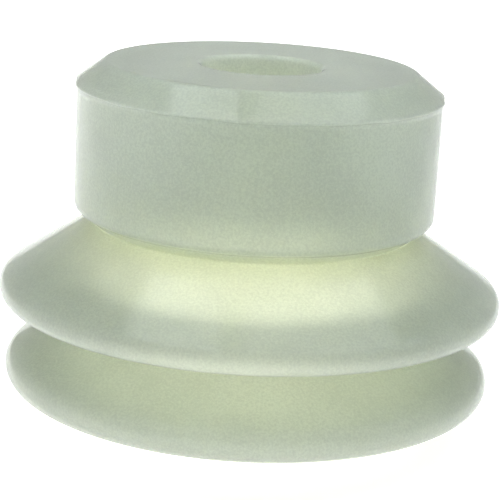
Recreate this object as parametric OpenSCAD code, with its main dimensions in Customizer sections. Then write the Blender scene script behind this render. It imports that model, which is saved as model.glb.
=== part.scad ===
// Bellows suction cup with one and a half folds, moulded in translucent silicone.
// The cup is round about Z. Its sealing rim stands on Z = 0 and its mounting
// bore opens upwards. One moulding, split at its working regions: the rigid
// collar and rings carry the load, and the thin walls between them flex.
// Millimetres.

/* [Overall] */
// Height from the sealing rim to the top face
height = 12.9; // [12.4:0.1:14]
// Radius of the fold's crest, the widest part of the cup
crest_r = 10; // [9.8:0.05:10.4]
// Radius of the lip at its widest
lip_r = 9.72; // [9.5:0.02:9.9]

/* [Collar] */
// Radius of the flat top face
top_r = 6.1; // [5.5:0.05:6.6]
// Height of the chamfer around the top face
chamfer_h = 0.95; // [0.5:0.05:1.4]
// Radius of the collar
collar_r = 7.15; // [6.9:0.05:7.4]
// Height of the collar's foot above the rim
collar_foot_z = 6.95; // [6.8:0.05:7.4]
// Radius of the rounded edge at the collar's foot
foot_round = 0.4; // [0.2:0.05:0.5]
// Radius of the bead of flash on the parting line
flash_r = 0.1; // [0.05:0.01:0.15]
// Radius of the mounting bore
bore_r = 2.35; // [1.5:0.05:3]

/* [Hollow] */
// Radius of the hollow inside the collar's lower half
hollow_r = 4.9; // [4.3:0.05:5.3]
// Height of the hollow's roof
roof_z = 8; // [7.6:0.05:9]
// Radius of the hollow's rounded upper corner
roof_round = 0.8; // [0.4:0.05:1.2]

/* [Upper fold] */
// Radius of the crease under the collar
crease_r = 6.4; // [6.2:0.05:6.6]
// Height of the crease under the collar
crease_z = 6.6; // [6.4:0.05:6.75]
// Height of the crest's centre
crest_z = 4.1; // [3.8:0.05:4.25]
// Radius of the crest's rounded edge
crest_round = 0.55; // [0.45:0.05:0.9]
// Thickness of the wall above the crest
top_wall_t = 1; // [0.8:0.05:1.2]

/* [Groove] */
// Radius of the bottom of the groove between the folds
groove_r = 6.9; // [6.7:0.05:7.2]
// Height of the groove's centre
groove_z = 2.9; // [2.75:0.05:3.1]
// Radius of the groove's rounded bottom
groove_round = 0.15; // [0.1:0.05:0.25]
// Thickness of the wall from the crest, round the groove
groove_wall_t = 0.9; // [0.8:0.05:1]

/* [Lip] */
// Height of the lip's widest circle
lip_z = 0.65; // [0.5:0.05:0.65]
// Radius of the lip's rounded outer face
lip_round = 0.7; // [0.68:0.02:0.9]
// Width of the flat rim that meets the work
rim_w = 0.4; // [0.3:0.05:0.6]

/* [Hidden] */
$fn = 144;
ARC_STEPS = 10;
SILICONE = [0.80, 0.83, 0.74];
SILICONE_THIN = [0.86, 0.88, 0.76];

// Circle centres and corner points of the section, as [radius, height]
crease = [crease_r, crease_z];
crest_c = [crest_r - crest_round, crest_z];
groove_c = [groove_r + groove_round, groove_z];
lip_c = [lip_r - lip_round, lip_z];
nose_round = groove_round + groove_wall_t;

// Wall above the crest: from the crease to a tangent of the crest's edge
top_dir = unit(tangent_point(crease, crest_c, crest_round, -1) - crease);
top_up = left_of(top_dir);
// Wall under the crest: a tangent of the groove's bottom and the crest's edge
under_dir = cross_tangent(groove_c, crest_c, groove_round + crest_round, 1);
under_up = left_of(under_dir);
// Outer face of the lip's wall: a tangent of the groove's bottom and the lip
lip_dir = cross_tangent(groove_c, lip_c, groove_round + lip_round, -1);
lip_up = left_of(lip_dir);

// Inner corner of the fold, and its feet on the two outer faces
fold_in = meet(crease - top_wall_t * top_up, top_dir,
    groove_c + nose_round * under_up, under_dir);
fold_top = fold_in + top_wall_t * top_up;
fold_under = fold_in - groove_wall_t * under_up;

// Rim and the lip's inner face
rim_out = [lip_c.x + sqrt(lip_round * lip_round - lip_z * lip_z), 0];
rim_in = rim_out - [rim_w, 0];
nose_foot = tangent_point(rim_in, groove_c, nose_round, -1);
lip_top = lip_c + lip_round * lip_up;
lip_in = meet(lip_top, lip_up, rim_in, unit(nose_foot - rim_in));

function unit(v) = v / norm(v);
function left_of(v) = [-v.y, v.x];
function angle_of(v) = atan2(v.y, v.x);

// Where a line from p touches a circle; side picks one of the two
function tangent_point(p, c, r, side) =
    let (a = angle_of(p - c) + side * acos(r / norm(p - c)))
    c + r * [cos(a), sin(a)];

// Direction of the line that runs between two circles and touches both
function cross_tangent(c1, c2, radii, side) =
    let (a = angle_of(c2 - c1) + side * -asin(radii / norm(c2 - c1)))
    [cos(a), sin(a)];

// Where two lines, each a point and a direction, meet
function meet(p, u, q, v) =
    let (w = q - p, k = u.x * v.y - u.y * v.x)
    p + u * (w.x * v.y - w.y * v.x) / k;

function arc(c, r, a0, a1) =
    [for (i = [0:ARC_STEPS]) let (a = a0 + (a1 - a0) * i / ARC_STEPS) c + r * [cos(a), sin(a)]];

module turned(outline) {
    rotate_extrude() polygon(outline);
}

module mounting_collar() {
    chamfer_z = height - chamfer_h;
    foot_c = [collar_r - foot_round, collar_foot_z + foot_round];
    roof_c = [hollow_r - roof_round, roof_z - roof_round];
    color(SILICONE) turned(concat(
        [[bore_r, height], [top_r, height]],
        arc([collar_r, chamfer_z], flash_r, 60, -90),
        arc(foot_c, foot_round, 0, -90),
        [crease, [hollow_r, crease_z]],
        arc(roof_c, roof_round, 0, 90),
        [[bore_r, roof_z]]
    ));
}

module upper_wall() {
    inner_start = meet(fold_in, top_dir, [hollow_r, 0], [0, 1]);
    color(SILICONE_THIN) turned([crease, fold_top, fold_in, inner_start, [hollow_r, crease_z]]);
}

module crest_ring() {
    color(SILICONE) turned(concat(
        [fold_in, fold_top],
        arc(crest_c, crest_round, angle_of(top_up), angle_of(-under_up)),
        [fold_under]
    ));
}

module under_wall() {
    color(SILICONE_THIN) turned([
        fold_in,
        fold_under,
        groove_c + groove_round * under_up,
        groove_c + nose_round * under_up
    ]);
}

// The upper half of the turn between the folds, down to the groove's centre
module groove_ring() {
    upper_a = angle_of(under_up);
    color(SILICONE) turned(concat(
        arc(groove_c, groove_round, upper_a, 180),
        arc(groove_c, nose_round, 180, upper_a)
    ));
}

// The lower half of the turn, and the skirt that flares out from it
module lip_wall() {
    color(SILICONE_THIN) turned(concat(
        arc(groove_c, groove_round, 180, angle_of(-lip_up) + 360),
        [lip_top, lip_in],
        arc(groove_c, nose_round, angle_of(nose_foot - groove_c) + 360, 180)
    ));
}

module sealing_lip() {
    color(SILICONE) turned(concat(
        arc(lip_c, lip_round, angle_of(lip_up), angle_of(rim_out - lip_c)),
        [rim_in, lip_in]
    ));
}

mounting_collar();
upper_wall();
crest_ring();
under_wall();
groove_ring();
lip_wall();
sealing_lip();
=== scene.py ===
"""Bellows suction cup in translucent silicone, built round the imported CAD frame.

Lengths are in millimetres until a mesh or a light is made, and metres after that.
Outlines are lists of (radius, height) points round the cup's axis, Z.
"""
import math

import bpy
from mathutils import Matrix, Vector, noise


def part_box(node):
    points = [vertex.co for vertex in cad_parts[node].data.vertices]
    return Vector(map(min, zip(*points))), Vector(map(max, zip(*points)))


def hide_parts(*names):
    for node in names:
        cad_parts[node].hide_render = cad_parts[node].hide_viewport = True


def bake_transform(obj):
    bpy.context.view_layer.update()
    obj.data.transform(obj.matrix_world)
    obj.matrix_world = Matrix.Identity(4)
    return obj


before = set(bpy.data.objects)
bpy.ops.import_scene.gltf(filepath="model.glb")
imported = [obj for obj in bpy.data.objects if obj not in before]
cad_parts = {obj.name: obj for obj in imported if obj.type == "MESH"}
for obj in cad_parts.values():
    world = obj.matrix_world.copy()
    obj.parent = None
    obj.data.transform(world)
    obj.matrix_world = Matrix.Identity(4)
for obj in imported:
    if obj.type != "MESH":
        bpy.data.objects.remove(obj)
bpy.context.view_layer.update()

MM = 0.001

# The glowing table under the cup, brighter to the left than to the right
FLOOR_Z = -1.6                     # low enough to show the lip when it tilts or stretches
FLOOR_HALF = 1500.0
FLOOR_C = (0.9, 0.9, 0.9)
FLOOR_ROUGH = 0.8
FLOOR_FADE = 60.0                  # the glow changes over this far to each side
FLOOR_LEFT = 0.98
FLOOR_RIGHT = 0.3
FLOOR_GLOW_C = (1.0, 0.995, 0.96)

# The room, brighter along the horizon than overhead
WORLD_C = (0.98, 1.0, 0.97)
HORIZON = 0.5
OVERHEAD = 0.3
FADE_FROM = 0.12                   # sines of the elevations between which it fades
FADE_TO = 0.3

# A skylight of three panes: name, left and right edges, brightness, colour
PANES = (
    ("pane_left", -150, -36, 1.5, (0.94, 1, 1)),
    ("pane_middle", -4, 190, 1.0, (0.94, 1, 1)),
    ("pane_right", 218, 300, 0.8, (0.85, 0.95, 1.0)),
)
PANE_GLOW = 2.25
PANE_Y = 20
PANE_Z = 300
PANE_DEPTH = 260

# A weak light to the left
SIDE_GLOW = 0.1
SIDE_PLACE = (-260, 60, 110)
SIDE_AIM = (0, 0, 6)
SIDE_SIZE = (200, 160)

# Two lamps inside the cup stand for the table's light, which gathers in there
GLOW_C = (1.0, 0.91, 0.68)
GLOW_AIM = (0, 0, 9)
HOLLOW_GLOW = 3.4
HOLLOW_LAMP_Z = 2.9
HOLLOW_LAMP_R = 5.8
MOUTH_GLOW = 0.85
MOUTH_LAMP_Z = 0.2
MOUTH_LAMP_R = 7.5

# Silicone
LIGHT_C = (0.64, 0.695, 0.615)     # the palest of its mottling
DEEP_C = (0.535, 0.585, 0.525)     # and the darkest
TINT = (0.83, 0.87, 0.84)          # what it takes from light that goes through
DENSITY = 70.0                     # per metre
IOR = 1.41
SPECULAR = 0.15
THROUGH = 0.5
SCATTER_MM = 3.5
SCATTER_C = (1.0, 0.97, 0.8)
ROUGH_LOW = 0.6
ROUGH_HIGH = 0.72
COAT = 0.75
COAT_ROUGH = 0.11

# Detail of the silicone. A scale is roughly how many lumps there are to a metre.
CLOUD_SCALE = 450.0
CLOUD_SHARE = 0.28
SPECKLE_SCALE = 11000.0
SPECKLE_SHARE = 0.72
MOTTLE_FROM = 0.4
MOTTLE_TO = 0.6
SMEAR_SCALE = 700.0
GRAIN_SCALE = 9000.0
GRAIN_STRENGTH = 0.35
GRAIN_DEPTH = 0.04


# ---------------------------------------------------------------- sizes

def low_mm(node):
    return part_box(node)[0] / MM


def high_mm(node):
    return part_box(node)[1] / MM


BORE_R = 2.35          # mounting bore
TOP_R = 6.1            # flat top face
CHAMFER_H = 0.95
FLASH_R = 0.1          # bead of flash on the parting line
FOOT_ROUND = 0.4       # rounded edge at the collar's foot
HOLLOW_R = 4.9         # hollow in the collar's lower half
ROOF_Z = 8.0
ROOF_ROUND = 0.8
CREST_ROUND = 0.55
TOP_WALL_T = 1.0
GROOVE_R = 6.9
GROOVE_Z = 2.9
GROOVE_ROUND = 0.15
GROOVE_WALL_T = 0.9
LIP_ROUND = 0.7
RIM_W = 0.4
CREASE_R = 6.4
EDGE_ROUND = 0.22      # soft edge of the bore
TOP_ROUND = 0.4        # soft edge round the top face
CREASE_ROUND = 0.06
FOLD_IN_ROUND = 0.3    # inner corner of the fold
HOLLOW_ROUND = 0.5     # corner where the fold's inner face meets the hollow
FOOT_ABOVE_CREASE = 0.35
FLASH_LUMPS = 6        # how closely the flash's thick places follow each other
FLASH_MEAN = 0.75      # its average thickness, as a share of FLASH_R
FLASH_CHANGE = 0.5
FLASH_REACH = 1.05     # of FLASH_R: a point further out than this is not on the bead
LIP_Z = 0.65           # height of the lip's widest circle

HEIGHT = high_mm("mounting_collar").z
COLLAR_R = high_mm("mounting_collar").x - FLASH_R
CREASE_Z = low_mm("mounting_collar").z
CREST_R = high_mm("crest_ring").x
CREST_Z = low_mm("crest_ring").z + CREST_ROUND
LIP_R = high_mm("sealing_lip").x
COLLAR_FOOT_Z = CREASE_Z + FOOT_ABOVE_CREASE


# ------------------------------------------------------------- outlines

def left_of(v):
    return Vector((-v.y, v.x))


def angle_of(v):
    return math.atan2(v.y, v.x)


def on_circle(centre, r, angle):
    return centre + r * Vector((math.cos(angle), math.sin(angle)))


def arc(centre, r, start, end, steps=12):
    """Points along a circle, both ends included. Angles are in radians."""
    return [on_circle(centre, r, start + (end - start) * i / steps) for i in range(steps + 1)]


def tangent_point(p, centre, r, side):
    """Where a line from p touches a circle."""
    return on_circle(centre, r, angle_of(p - centre) + side * math.acos(r / (p - centre).length))


def cross_tangent(c1, c2, radii, side):
    """Direction of the line that runs between two circles and touches both."""
    angle = angle_of(c2 - c1) - side * math.asin(radii / (c2 - c1).length)
    return Vector((math.cos(angle), math.sin(angle)))


def meet(p, u, q, v):
    """Where two lines, each a point and a direction, meet."""
    w = q - p
    return p + u * (w.x * v.y - w.y * v.x) / (u.x * v.y - u.y * v.x)


def rounded(a, corner, b, r, steps=6):
    """An arc of radius r in place of the corner between a and b."""
    u = (a - corner).normalized()
    v = (b - corner).normalized()
    half = u.angle(v) / 2
    centre = corner + (u + v).normalized() * r / math.sin(half)
    start = angle_of(corner + u * r / math.tan(half) - centre)
    turn = angle_of(corner + v * r / math.tan(half) - centre) - start
    turn = (turn + math.pi) % (2 * math.pi) - math.pi
    return arc(centre, r, start, start + turn, steps)


def subdivided(points, step):
    """The closed outline with no stretch longer than step."""
    out = []
    for a, b in zip(points, points[1:] + points[:1]):
        n = max(1, math.ceil((b - a).length / step))
        out += [a.lerp(b, i / n) for i in range(n)]
    return out


CREASE = Vector((CREASE_R, CREASE_Z))
CREST_C = Vector((CREST_R - CREST_ROUND, CREST_Z))
GROOVE_C = Vector((GROOVE_R + GROOVE_ROUND, GROOVE_Z))
LIP_C = Vector((LIP_R - LIP_ROUND, LIP_Z))
NOSE_ROUND = GROOVE_ROUND + GROOVE_WALL_T

TOP_DIR = (tangent_point(CREASE, CREST_C, CREST_ROUND, -1) - CREASE).normalized()
TOP_UP = left_of(TOP_DIR)
UNDER_DIR = cross_tangent(GROOVE_C, CREST_C, GROOVE_ROUND + CREST_ROUND, 1)
UNDER_UP = left_of(UNDER_DIR)
LIP_DIR = cross_tangent(GROOVE_C, LIP_C, GROOVE_ROUND + LIP_ROUND, -1)
LIP_UP = left_of(LIP_DIR)

FOLD_IN = meet(CREASE - TOP_WALL_T * TOP_UP, TOP_DIR,
               GROOVE_C + NOSE_ROUND * UNDER_UP, UNDER_DIR)
RIM_OUT = Vector((LIP_C.x + math.sqrt(LIP_ROUND ** 2 - LIP_Z ** 2), 0))
RIM_IN = RIM_OUT - Vector((RIM_W, 0))
NOSE_FOOT = tangent_point(RIM_IN, GROOVE_C, NOSE_ROUND, -1)


def body_outline():
    """Collar and upper fold, down to the level of the groove's centre."""
    top = Vector((TOP_R, HEIGHT))
    mouth = Vector((BORE_R, HEIGHT))
    chamfer_foot = Vector((COLLAR_R, HEIGHT - CHAMFER_H))
    foot_c = Vector((COLLAR_R - FOOT_ROUND, COLLAR_FOOT_Z + FOOT_ROUND))
    roof_c = Vector((HOLLOW_R - ROOF_ROUND, ROOF_Z - ROOF_ROUND))
    roof_edge = Vector((BORE_R, ROOF_Z))
    hollow = Vector((HOLLOW_R, CREASE_Z))
    inner_start = meet(FOLD_IN, TOP_DIR, hollow, Vector((0, 1)))
    under_a = angle_of(UNDER_UP)
    return (
        rounded(roof_edge, mouth, top, EDGE_ROUND)
        + rounded(mouth, top, chamfer_foot, TOP_ROUND)
        + arc(chamfer_foot, FLASH_R, math.radians(60), math.radians(-90))
        + arc(foot_c, FOOT_ROUND, 0, -math.pi / 2)
        + rounded(foot_c - Vector((0, FOOT_ROUND)), CREASE, CREASE + TOP_DIR, CREASE_ROUND)
        + arc(CREST_C, CREST_ROUND, angle_of(TOP_UP), angle_of(-UNDER_UP), 16)
        + arc(GROOVE_C, GROOVE_ROUND, under_a, math.pi)
        + arc(GROOVE_C, NOSE_ROUND, math.pi, under_a)
        + rounded(GROOVE_C + NOSE_ROUND * UNDER_UP, FOLD_IN, inner_start, FOLD_IN_ROUND)
        + rounded(FOLD_IN, inner_start, hollow, HOLLOW_ROUND)
        + arc(roof_c, ROOF_ROUND, 0, math.pi / 2)
        + rounded(roof_c, roof_edge, mouth, EDGE_ROUND)
    )


def lip_outline():
    """The skirt from the groove's centre down to the rim that seals."""
    nose_a = angle_of(NOSE_FOOT - GROOVE_C) + 2 * math.pi
    return (
        arc(GROOVE_C, GROOVE_ROUND, math.pi, angle_of(-LIP_UP) + 2 * math.pi)
        + arc(LIP_C, LIP_ROUND, angle_of(LIP_UP), angle_of(RIM_OUT - LIP_C), 16)
        + [RIM_IN]
        + arc(GROOVE_C, NOSE_ROUND, nose_a, math.pi)
    )


# --------------------------------------------------------------- meshes

SEGMENTS = 256
OUTLINE_STEP = 0.2


def turned(name, outline, wobble=None):
    """A closed ring: the outline turned round Z. wobble(point, angle) moves a point, in mm."""
    points = subdivided(outline, OUTLINE_STEP)
    count = len(points)
    vertices = []
    for i in range(SEGMENTS):
        angle = 2 * math.pi * i / SEGMENTS
        for p in points:
            q = wobble(p, angle) if wobble else p
            vertices.append((q.x * math.cos(angle) * MM, q.x * math.sin(angle) * MM, q.y * MM))
    faces = []
    for i in range(SEGMENTS):
        here, there = i * count, (i + 1) % SEGMENTS * count
        for k in range(count):
            n = (k + 1) % count
            faces.append((here + k, here + n, there + n, there + k))
    mesh = bpy.data.meshes.new(name)
    mesh.from_pydata(vertices, [], faces)
    mesh.validate()
    mesh.shade_smooth()
    piece = bpy.data.objects.new(name, mesh)
    bpy.context.scene.collection.objects.link(piece)
    return piece


def flash_wobble(p, angle):
    """The bead of flash is thicker in some places than in others."""
    edge = Vector((COLLAR_R, HEIGHT - CHAMFER_H))
    out = p - edge
    if out.length > FLASH_R * FLASH_REACH:
        return p
    at = Vector((math.cos(angle), math.sin(angle), 0)) * FLASH_LUMPS
    return edge + out * (FLASH_MEAN + FLASH_CHANGE * noise.noise(at))


# ------------------------------------------------------------ materials

def node(tree, kind, **values):
    """A shader node with its inputs set by name."""
    made = tree.nodes.new(kind)
    for key, value in values.items():
        made.inputs[key.replace("_", " ")].default_value = value
    return made


def silicone(name):
    """Milky silicone: cloudy inside, satin outside, with the fine grain of the mould."""
    material = bpy.data.materials.new(name)
    material.use_nodes = True
    tree = material.node_tree
    link = tree.links.new
    shader = tree.nodes["Principled BSDF"]
    shader.subsurface_method = "RANDOM_WALK"
    shader.inputs["Subsurface Weight"].default_value = 1.0
    shader.inputs["Subsurface Radius"].default_value = SCATTER_C
    shader.inputs["Subsurface Scale"].default_value = SCATTER_MM * MM
    shader.inputs["IOR"].default_value = IOR
    shader.inputs["Specular IOR Level"].default_value = SPECULAR
    shader.inputs["Transmission Weight"].default_value = THROUGH
    shader.inputs["Coat Weight"].default_value = COAT
    shader.inputs["Coat Roughness"].default_value = COAT_ROUGH
    shader.inputs["Coat IOR"].default_value = IOR

    where = tree.nodes.new("ShaderNodeTexCoord")

    # Cloudy patches and fine mottling in the colour
    clouds = node(tree, "ShaderNodeTexNoise", Scale=CLOUD_SCALE, Detail=4.0, Roughness=0.6)
    speckle = node(tree, "ShaderNodeTexNoise", Scale=SPECKLE_SCALE, Detail=2.0, Roughness=0.7)
    link(where.outputs["Object"], clouds.inputs["Vector"])
    link(where.outputs["Object"], speckle.inputs["Vector"])
    both = node(tree, "ShaderNodeMath")
    both.operation = "MULTIPLY_ADD"
    both.inputs[1].default_value = SPECKLE_SHARE
    link(speckle.outputs["Fac"], both.inputs[0])
    part = node(tree, "ShaderNodeMath")
    part.operation = "MULTIPLY"
    part.inputs[1].default_value = CLOUD_SHARE
    link(clouds.outputs["Fac"], part.inputs[0])
    link(part.outputs[0], both.inputs[2])
    ramp = tree.nodes.new("ShaderNodeValToRGB")
    ramp.color_ramp.elements[0].position = MOTTLE_FROM
    ramp.color_ramp.elements[0].color = (*DEEP_C, 1)
    ramp.color_ramp.elements[1].position = MOTTLE_TO
    ramp.color_ramp.elements[1].color = (*LIGHT_C, 1)
    link(both.outputs[0], ramp.inputs["Fac"])
    link(ramp.outputs["Color"], shader.inputs["Base Color"])

    # Roughness that varies a little from place to place
    smear = node(tree, "ShaderNodeTexNoise", Scale=SMEAR_SCALE, Detail=2.0)
    link(where.outputs["Object"], smear.inputs["Vector"])
    sheen = tree.nodes.new("ShaderNodeMapRange")
    sheen.inputs["To Min"].default_value = ROUGH_LOW
    sheen.inputs["To Max"].default_value = ROUGH_HIGH
    link(smear.outputs["Fac"], sheen.inputs["Value"])
    link(sheen.outputs["Result"], shader.inputs["Roughness"])

    # Fine grain of the mould on the skin
    grain = node(tree, "ShaderNodeTexNoise", Scale=GRAIN_SCALE, Detail=2.0)
    link(where.outputs["Object"], grain.inputs["Vector"])
    bump = node(tree, "ShaderNodeBump", Strength=GRAIN_STRENGTH, Distance=GRAIN_DEPTH * MM)
    link(grain.outputs["Fac"], bump.inputs["Height"])
    link(bump.outputs["Normal"], shader.inputs["Normal"])

    # The further light goes through it, the darker and greener it gets
    absorb = tree.nodes.new("ShaderNodeVolumeAbsorption")
    absorb.inputs["Color"].default_value = (*TINT, 1)
    absorb.inputs["Density"].default_value = DENSITY
    link(absorb.outputs["Volume"], tree.nodes["Material Output"].inputs["Volume"])
    return material


def plain(name, colour, roughness):
    material = bpy.data.materials.new(name)
    material.use_nodes = True
    shader = material.node_tree.nodes["Principled BSDF"]
    shader.inputs["Base Color"].default_value = (*colour, 1)
    shader.inputs["Roughness"].default_value = roughness
    return material


body_silicone = silicone("body_silicone")
lip_silicone = silicone("lip_silicone")


# --------------------------------------------------------------- pieces

def finish_piece(piece, material, slot, *nodes):
    piece.data.materials.append(material)
    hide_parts(*nodes)


cup_body = turned("collar_and_upper_fold", body_outline(), flash_wobble)
finish_piece(cup_body, body_silicone, "silicone_thick",
             "mounting_collar", "upper_wall", "crest_ring", "under_wall", "groove_ring")
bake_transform(cup_body)

lip_skirt = turned("lip_skirt", lip_outline())
finish_piece(lip_skirt, lip_silicone, "silicone_thin", "lip_wall", "sealing_lip")
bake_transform(lip_skirt)


# ------------------------------------------------- camera, floor, lights

CAMERA_AWAY = 70.0                 # from the point it turns about
CAMERA_AIM_Z = 6.0
CAMERA_ELEVATION = 0.253           # this and the next three are in radians
CAMERA_ROLL = 0.054
CAMERA_PAN = -0.001
CAMERA_TILT = -0.0085
FOCAL_SHARE = 3.496                # focal length over the frame's width
CLIP_NEAR = 5
CLIP_FAR = 10000


def make_camera():
    e = CAMERA_ELEVATION
    place = Vector((0, -CAMERA_AWAY * math.cos(e), CAMERA_AIM_Z + CAMERA_AWAY * math.sin(e)))
    forward = Vector((0, math.cos(e), -math.sin(e)))
    right = Vector((1, 0, 0))
    up = right.cross(forward)
    forward, right = (
        forward * math.cos(CAMERA_PAN) + right * math.sin(CAMERA_PAN),
        right * math.cos(CAMERA_PAN) - forward * math.sin(CAMERA_PAN),
    )
    forward, up = (
        forward * math.cos(CAMERA_TILT) + up * math.sin(CAMERA_TILT),
        up * math.cos(CAMERA_TILT) - forward * math.sin(CAMERA_TILT),
    )
    right, up = (
        right * math.cos(CAMERA_ROLL) + up * math.sin(CAMERA_ROLL),
        up * math.cos(CAMERA_ROLL) - right * math.sin(CAMERA_ROLL),
    )
    camera = bpy.data.objects.new("camera", bpy.data.cameras.new("camera"))
    bpy.context.scene.collection.objects.link(camera)
    turn = Matrix((right, up, -forward)).transposed().to_4x4()
    camera.matrix_world = Matrix.Translation(place * MM) @ turn
    camera.data.lens = FOCAL_SHARE * camera.data.sensor_width
    camera.data.clip_start = CLIP_NEAR * MM
    camera.data.clip_end = CLIP_FAR * MM
    bpy.context.scene.camera = camera


def make_floor():
    mesh = bpy.data.meshes.new("floor")
    half = FLOOR_HALF * MM
    z = FLOOR_Z * MM
    corners = [(-half, -half, z), (half, -half, z), (half, half, z), (-half, half, z)]
    mesh.from_pydata(corners, [], [(0, 1, 2, 3)])
    floor = bpy.data.objects.new("floor", mesh)
    bpy.context.scene.collection.objects.link(floor)
    pale = plain("pale_floor", FLOOR_C, FLOOR_ROUGH)
    glow = pale.node_tree.nodes["Principled BSDF"]
    glow.inputs["Emission Color"].default_value = (*FLOOR_GLOW_C, 1)
    where = pale.node_tree.nodes.new("ShaderNodeTexCoord")
    across = pale.node_tree.nodes.new("ShaderNodeSeparateXYZ")
    fade = pale.node_tree.nodes.new("ShaderNodeMapRange")
    fade.inputs["From Min"].default_value = -FLOOR_FADE * MM
    fade.inputs["From Max"].default_value = FLOOR_FADE * MM
    fade.inputs["To Min"].default_value = FLOOR_LEFT
    fade.inputs["To Max"].default_value = FLOOR_RIGHT
    pale.node_tree.links.new(where.outputs["Object"], across.inputs["Vector"])
    pale.node_tree.links.new(across.outputs["X"], fade.inputs["Value"])
    pale.node_tree.links.new(fade.outputs["Result"], glow.inputs["Emission Strength"])
    mesh.materials.append(pale)


def area_light(name, centre, target, width, depth, glow, colour=(1, 1, 1), shape="RECTANGLE"):
    """A soft lamp, its places and sizes in mm. glow is its brightness, whatever its size."""
    lamp = bpy.data.lights.new(name, "AREA")
    lamp.shape = shape
    lamp.size = width * MM
    lamp.size_y = depth * MM
    area = width * depth * MM * MM
    if shape == "ELLIPSE":
        area *= math.pi / 4
    lamp.energy = glow * math.pi * area
    lamp.color = colour
    made = bpy.data.objects.new(name, lamp)
    bpy.context.scene.collection.objects.link(made)
    made.location = Vector(centre) * MM
    made.rotation_mode = "QUATERNION"
    made.rotation_quaternion = (Vector(target) - Vector(centre)).to_track_quat("-Z", "Y")


def make_lights():
    world = bpy.data.worlds.new("studio")
    bpy.context.scene.world = world
    world.use_nodes = True
    background = world.node_tree.nodes["Background"]
    background.inputs["Color"].default_value = (*WORLD_C, 1)
    links = world.node_tree.links.new
    where = world.node_tree.nodes.new("ShaderNodeTexCoord")
    up = world.node_tree.nodes.new("ShaderNodeSeparateXYZ")
    fade = world.node_tree.nodes.new("ShaderNodeMapRange")
    fade.interpolation_type = "SMOOTHSTEP"
    fade.inputs["From Min"].default_value = FADE_FROM
    fade.inputs["From Max"].default_value = FADE_TO
    fade.inputs["To Min"].default_value = HORIZON
    fade.inputs["To Max"].default_value = OVERHEAD
    links(where.outputs["Generated"], up.inputs["Vector"])
    links(up.outputs["Z"], fade.inputs["Value"])
    links(fade.outputs["Result"], background.inputs["Strength"])
    for name, left, right, share, colour in PANES:
        middle = (left + right) / 2
        area_light(name, (middle, PANE_Y, PANE_Z), (middle, PANE_Y, 0),
                   right - left, PANE_DEPTH, PANE_GLOW * share, colour)
    area_light("hollow_glow", (0, 0, HOLLOW_LAMP_Z), GLOW_AIM, 2 * HOLLOW_LAMP_R, 2 * HOLLOW_LAMP_R,
               HOLLOW_GLOW, GLOW_C, "ELLIPSE")
    area_light("mouth_glow", (0, 0, MOUTH_LAMP_Z), GLOW_AIM, 2 * MOUTH_LAMP_R, 2 * MOUTH_LAMP_R,
               MOUTH_GLOW, GLOW_C, "ELLIPSE")
    area_light("side_left", SIDE_PLACE, SIDE_AIM, *SIDE_SIZE, SIDE_GLOW)


make_camera()
make_floor()
make_lights()
bpy.context.scene.view_settings.view_transform = "Standard"
